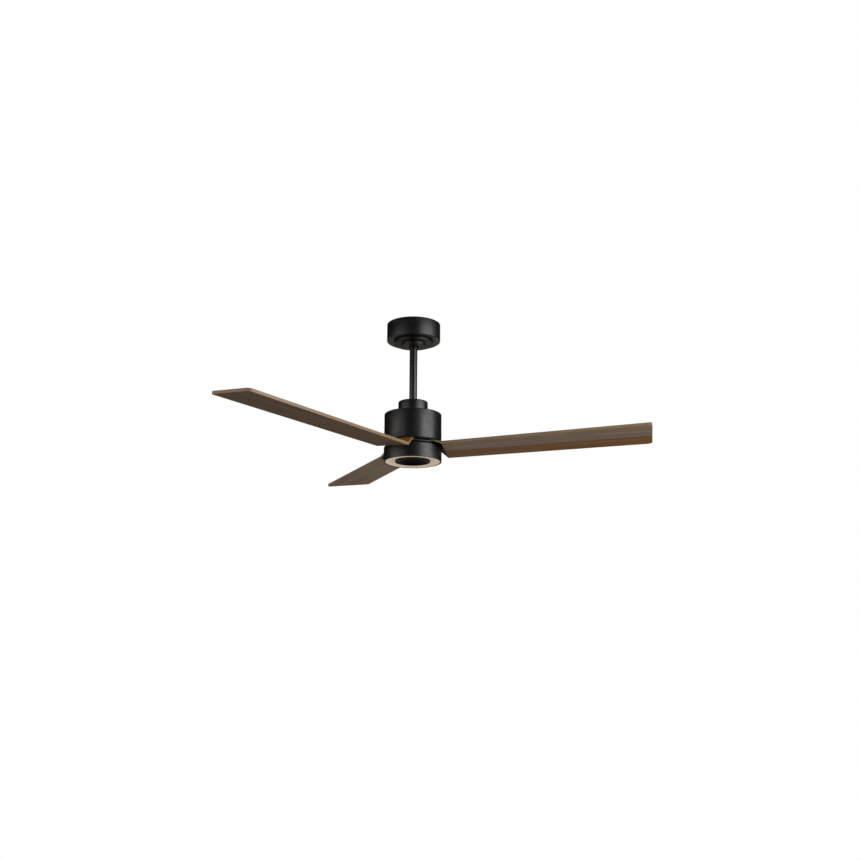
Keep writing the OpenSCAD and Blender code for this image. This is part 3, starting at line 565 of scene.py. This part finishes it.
class FAN_OT_stage(bpy.types.Operator):
    """Sets the camera, the floor and the lights"""
    bl_idname = "fan.stage"
    bl_label = "Stage"

    def execute(self, context):
        """Makes the stage."""
        stage = context.scene.fan_stage
        self.camera(context, stage)
        self.floor(context, stage)
        self.world(context)
        # tall soft lights give the painted shells one strong and one weak upright highlight
        self.light(context, "right_softbox", stage.right_power, *SOFTBOXES["right_softbox"])
        self.light(context, "left_softbox", stage.left_power, *SOFTBOXES["left_softbox"])
        context.scene.view_settings.view_transform = "Standard"
        return {"FINISHED"}

    def camera(self, context, stage):
        """Looks up at the fan from below its blades."""
        pitch, yaw, roll = stage.camera_pitch, stage.camera_yaw, stage.camera_roll
        ahead = Vector((math.sin(yaw) * math.cos(pitch), math.cos(yaw) * math.cos(pitch), math.sin(pitch)))
        level = Vector((math.cos(yaw), -math.sin(yaw), 0))
        upright = level.cross(ahead)
        right = level * math.cos(roll) + upright * math.sin(roll)
        above = upright * math.cos(roll) - level * math.sin(roll)
        camera = bpy.data.objects.new("camera", bpy.data.cameras.new("camera"))
        context.scene.collection.objects.link(camera)
        turn = Matrix((right, above, -ahead)).transposed().to_4x4()
        camera.matrix_world = Matrix.Translation((0, -stage.camera_distance, -stage.camera_drop)) @ turn
        camera.data.lens = stage.lens
        camera.data.sensor_width = SENSOR_WIDTH
        context.scene.camera = camera

    def floor(self, context, stage):
        """A round pale floor, far below."""
        made = bmesh.new()
        bmesh.ops.create_circle(made, cap_ends=True, segments=FLOOR_SIDES,
                                radius=FLOOR_RADIUS)
        bmesh.ops.translate(made, verts=made.verts, vec=(0, 0, -stage.floor_drop))
        mesh = bpy.data.meshes.new("floor")
        made.to_mesh(mesh)
        made.free()
        floor = bpy.data.objects.new("floor", mesh)
        context.scene.collection.objects.link(floor)
        mesh.materials.append(stage_paint())
        floor.visible_diffuse = False
        floor.visible_glossy = False

    def world(self, context):
        """White all round for the camera; for the fan, dim at the sides and brighter from below."""
        world = bpy.data.worlds.new("studio")
        world.use_nodes = True
        tree = world.node_tree
        tree.nodes.clear()
        place = add(tree, "ShaderNodeTexCoord").outputs["Generated"]
        parts = add(tree, "ShaderNodeSeparateXYZ", {0: place})
        below = add(tree, "ShaderNodeMapRange",
                    {"Value": parts.outputs["Z"], "From Min": -0.05, "From Max": -0.30, "To Max": 0.42},
                    interpolation_type="SMOOTHSTEP")
        behind = add(tree, "ShaderNodeMapRange",
                     {"Value": parts.outputs["Y"], "From Min": -0.5, "From Max": 0.4, "To Min": 0.25},
                     interpolation_type="SMOOTHSTEP")
        bounce = add(tree, "ShaderNodeMath", {0: below.outputs[0], 1: behind.outputs[0]}, operation="MULTIPLY")
        above = add(tree, "ShaderNodeMapRange",
                    {"Value": parts.outputs["Z"], "From Min": 0.45, "From Max": 0.95,
                     "To Min": 0.012, "To Max": 0.35}, interpolation_type="SMOOTHSTEP")
        lit = add(tree, "ShaderNodeMath", {0: bounce.outputs[0], 1: above.outputs[0]}, operation="ADD")
        room = add(tree, "ShaderNodeBackground", {"Color": (*linear("#fff6ec"), 1), "Strength": lit.outputs[0]})
        backdrop = add(tree, "ShaderNodeBackground", {"Color": (1, 1, 1, 1), "Strength": 1.0})
        seen = add(tree, "ShaderNodeLightPath").outputs["Is Camera Ray"]
        both = add(tree, "ShaderNodeMixShader", {0: seen, 1: room.outputs[0], 2: backdrop.outputs[0]})
        add(tree, "ShaderNodeOutputWorld", {"Surface": both.outputs[0]})
        context.scene.world = world

    def light(self, context, name, power, bearing, distance, height, size, hex_colour):
        """A rectangular soft light that faces the fan. The bearing is in degrees from +X."""
        lamp = bpy.data.lights.new(name, "AREA")
        lamp.shape = "RECTANGLE"
        lamp.size, lamp.size_y = size
        lamp.energy = power
        lamp.color = linear(hex_colour)
        at = math.radians(bearing)
        place = Vector((distance * math.cos(at), distance * math.sin(at), height))
        holder = bpy.data.objects.new(name, lamp)
        context.scene.collection.objects.link(holder)
        middle = Vector((0, 0, bottom("motor_housing")))
        facing = (middle - place).to_track_quat("-Z", "Y").to_matrix().to_4x4()
        holder.matrix_world = Matrix.Translation(place) @ facing
        holder.visible_camera = False


class FAN_OT_finishes(bpy.types.Operator):
    """Gives every node of the frame its finish"""
    bl_idname = "fan.finishes"
    bl_label = "Finishes"

    def execute(self, context):
        """Makes the finishes and lays them on the frame's nodes by their slots."""
        FINISHES.update(all_finishes())
        for name, node in frame["nodes"].items():
            node.data.materials.clear()
            node.data.materials.append(FINISHES[slot_of(name)])
        return {"FINISHED"}


class FAN_OT_canopy(bpy.types.Operator):
    """Makes the canopy and the stepped cover under it"""
    bl_idname = "fan.canopy"
    bl_label = "Canopy"

    def execute(self, context):
        """Turns both shells."""
        shell("canopy_shell", "ceiling", "canopy", closed_above=False)
        low, low_in, mid, mid_in, rim, lip, sleeve_top = levels("canopy_cover")
        hole, narrow = ring_at("canopy_cover", low)
        _, wide = ring_at("canopy_cover", mid)
        wide_in, _ = ring_at("canopy_cover", rim)
        narrow_in = narrow - (wide - wide_in)
        sleeve, snap = ring_at("canopy_cover", lip)
        sleeve_in, _ = ring_at("canopy_cover", sleeve_top)
        edge, fine = shape().cover_edge, shape().metal_edge
        outline = [(hole, low, fine), (narrow, low, edge), (narrow, mid, fine), (wide, mid, edge),
                   (wide, rim, fine), (wide_in, rim, fine), (wide_in, mid_in, fine), (narrow_in, mid_in, fine),
                   (narrow_in, low_in, fine), (sleeve, low_in, 0), (sleeve, lip, 0), (snap, lip, fine),
                   (snap, sleeve_top, fine), (sleeve_in, sleeve_top, fine), (sleeve_in, low_in, 0),
                   (hole, low_in, fine)]
        turned("canopy_cover_moulding", "ceiling", FINISHES["cover_black"], outline,
               ["canopy_cover"])
        return {"FINISHED"}


class FAN_OT_hanger(bpy.types.Operator):
    """Makes the bracket, the ball and the wiring under the canopy"""
    bl_idname = "fan.hanger"
    bl_label = "Hanger"

    def execute(self, context):
        """Eases the edges of each pressed or moulded piece."""
        metal_edge = shape().metal_edge
        eased("bracket_pressing", "hanger_bracket", "ceiling", metal_edge)
        eased("earth_terminal", "earth_screw", "ceiling", metal_edge)
        eased("receiver_case", "receiver", "ceiling", 3 * metal_edge)
        eased("wire_nuts", "wire_connectors", "ceiling", 2 * metal_edge)
        eased("hanger_ball_moulding", "hanger_ball", "ball", 2 * metal_edge)
        return {"FINISHED"}


class FAN_OT_rod(bpy.types.Operator):
    """Makes the rod and the cover over its lower joint"""
    bl_idname = "fan.rod"
    bl_label = "Rod"

    def execute(self, context):
        """Turns the tube and the cover."""
        edge = shape().rod_edge
        low, high = bottom("downrod"), top("downrod")
        inner, outer = ring_at("downrod", high)
        turned("rod_tube", "suspension", FINISHES["black_paint"],
               [(outer, low, edge), (inner, low, edge), (inner, high, edge), (outer, high, edge)], ["downrod"])
        shell("coupling_cover_shell", "suspension", "coupling_cover", closed_above=True)
        return {"FINISHED"}


class FAN_OT_motor(bpy.types.Operator):
    """Makes the drum over the motor"""
    bl_idname = "fan.motor"
    bl_label = "Motor housing"

    def execute(self, context):
        """Turns the drum."""
        shell("motor_housing_shell", "suspension", "motor_housing", closed_above=True)
        return {"FINISHED"}


class FAN_OT_light(bpy.types.Operator):
    """Makes the light kit: drum, bezel, ring diffuser and centre cup"""
    bl_idname = "fan.light"
    bl_label = "Light kit"

    def execute(self, context):
        """Turns the four pieces."""
        fine = shape().metal_edge
        shell("light_housing_shell", "suspension", "light_housing", closed_above=True)
        low, ledge, high = levels("light_bezel")
        seat, outer = ring_at("light_bezel", low)
        lip, _ = ring_at("light_bezel", high)
        turned("light_bezel_ring", "suspension", FINISHES["black_paint"],
               [(outer, low, 2 * fine), (seat, low, 2 * fine), (seat, ledge, fine), (lip, ledge, fine),
                (lip, high, fine), (outer, high, fine)], ["light_bezel"])
        self.diffuser(fine)
        self.cup(fine)
        return {"FINISHED"}

    def diffuser(self, fine):
        """A dished ring with a flat rim."""
        low, high = bottom("ring_diffuser"), top("ring_diffuser")
        flat, outer = ring_at("ring_diffuser", low)
        inner, _ = ring_at("ring_diffuser", high)
        rim = highest_at("ring_diffuser", outer)
        turned("diffuser_ring", "suspension", FINISHES["opal_diffuser"],
               [(outer, low, fine), (flat, low, 0), (inner, high - (rim - low), fine),
                (inner, high, fine), (flat, rim, 0), (outer, rim, fine)], ["ring_diffuser"])

    def cup(self, fine):
        """A bowl cut from a ball, with an upright rim."""
        low, high = bottom("centre_cup"), top("centre_cup")
        lip, outer = ring_at("centre_cup", low)
        skirt = highest_at("centre_cup", outer)
        wall = outer - lip
        depth = high - low - wall
        bowl = (lip ** 2 + depth ** 2) / (2 * depth)
        middle = low + depth - bowl
        inside = [(bowl * math.sin(a), middle + bowl * math.cos(a), 0) for a in sweep(math.asin(lip / bowl))]
        outside = [((bowl + wall) * math.sin(a), middle + (bowl + wall) * math.cos(a), 0)
                   for a in sweep(math.asin(lip / (bowl + wall)))]
        turned("centre_cup_shell", "suspension", FINISHES["cup_paint"],
               [(0, inside[0][1], 0), *inside[1:-1], (lip, low, fine), (outer, low, fine), (outer, skirt, fine),
                (lip, skirt, fine), *outside[:0:-1], (0, high, 0)], ["centre_cup"])


class FAN_OT_blades(bpy.types.Operator):
    """Makes the three veneered blades with their edge bands, and the clamp under them"""
    bl_idname = "fan.blades"
    bl_label = "Blades"

    def execute(self, context):
        """Eases each blade's edges and lays the grain along it."""
        colours = paint()
        # the first blade's warm low leaf is a painted warm reflection across its near half
        leaves = ((colours.walnut_grey, colours.walnut_warm_and_reflection), (colours.walnut_grey, colours.walnut_grey),
                  # the third blade's dark walnut on both leaves is painted shade
                  (colours.walnut_painted_shade, colours.walnut_painted_shade))
        # stain holds the painted shade of the blades' roots
        band, stain = FINISHES["walnut_wood"], FINISHES["stain"]
        upper = walnut_veneer("walnut_veneer_top", tuple(colours.walnut_warm_and_reflection), tuple(colours.walnut_warm_and_reflection))
        for number, node in enumerate(BLADES):
            made = copied(node)
            ease(made, shape().blade_edge)
            self.lay_grain(made, shape().first_blade + number * math.tau / len(BLADES))
            veneer = walnut_veneer(f"walnut_veneer_{number + 1}", *(tuple(leaf) for leaf in leaves[number]))
            finished(made, f"{node}_board", "rotor", [veneer, band, stain, upper], [node])
        eased("blade_clamp_ring", "blade_clamp", "rotor", shape().metal_edge)
        return {"FINISHED"}

    def lay_grain(self, made, angle):
        """Writes the distance along the blade and from its low edge to a UV map, and sorts the faces."""
        back = Matrix.Rotation(-angle, 3, "Z")
        places = [back @ vert.co for vert in made.verts]
        tip = max(places, key=lambda place: place.y)
        root = max((place for place in places if place.x < tip.x / 4), key=lambda place: place.y)
        flare = (tip.y - root.y) / (tip.x - root.x)
        grain = made.loops.layers.uv.new("grain")
        for face in made.faces:
            banded = abs(face.normal.z) < STEEP
            under_drum = (back @ face.calc_center_median()).x < root.x - ROOT_MARGIN
            # underside faces inboard of the root's corner get the painted shade
            face.material_index = (BAND if banded else UPPER if face.normal.z > 0 else
                                   ROOT_SHADE if under_drum else FACE)
            for loop in face.loops:
                place = back @ loop.vert.co
                if banded:
                    loop[grain].uv = (place.x + place.y, place.z)
                else:
                    loop[grain].uv = (place.x, root.y + flare * (place.x - root.x) - place.y)


class FAN_PT_looks(bpy.types.Panel):
    """Lists the fan's operators"""
    bl_idname = "FAN_PT_looks"
    bl_label = "Ceiling fan"
    bl_space_type = "VIEW_3D"
    bl_region_type = "UI"
    bl_category = "Fan"

    def draw(self, context):
        """Draws one button for each operator, and the settings under them."""
        for kind in OPERATORS:
            self.layout.operator(kind.bl_idname)
        for group in (context.scene.fan_shape, context.scene.fan_colours, context.scene.fan_stage):
            for key in group.bl_rna.properties.keys():
                if key not in ("rna_type", "name"):
                    self.layout.prop(group, key)


OPERATORS = (FAN_OT_stage, FAN_OT_finishes, FAN_OT_canopy, FAN_OT_hanger, FAN_OT_rod, FAN_OT_motor, FAN_OT_light,
             FAN_OT_blades)
CLASSES = (FanShape, FanColours, FanStage, *OPERATORS, FAN_PT_looks)
GROUPS = {"fan_shape": FanShape, "fan_colours": FanColours, "fan_stage": FanStage}


def register():
    """Adds the classes and the settings."""
    for kind in CLASSES:
        bpy.utils.register_class(kind)
    for key, group in GROUPS.items():
        setattr(bpy.types.Scene, key, bpy.props.PointerProperty(type=group))


def unregister():
    """Takes them away again."""
    for key in GROUPS:
        delattr(bpy.types.Scene, key)
    for kind in reversed(CLASSES):
        bpy.utils.unregister_class(kind)


def main():
    """Registers the add-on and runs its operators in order."""
    register()
    for step in (bpy.ops.fan.stage, bpy.ops.fan.finishes, bpy.ops.fan.canopy, bpy.ops.fan.hanger,
                 bpy.ops.fan.rod, bpy.ops.fan.motor, bpy.ops.fan.light, bpy.ops.fan.blades):
        step()


if __name__ == "__main__":
    main()
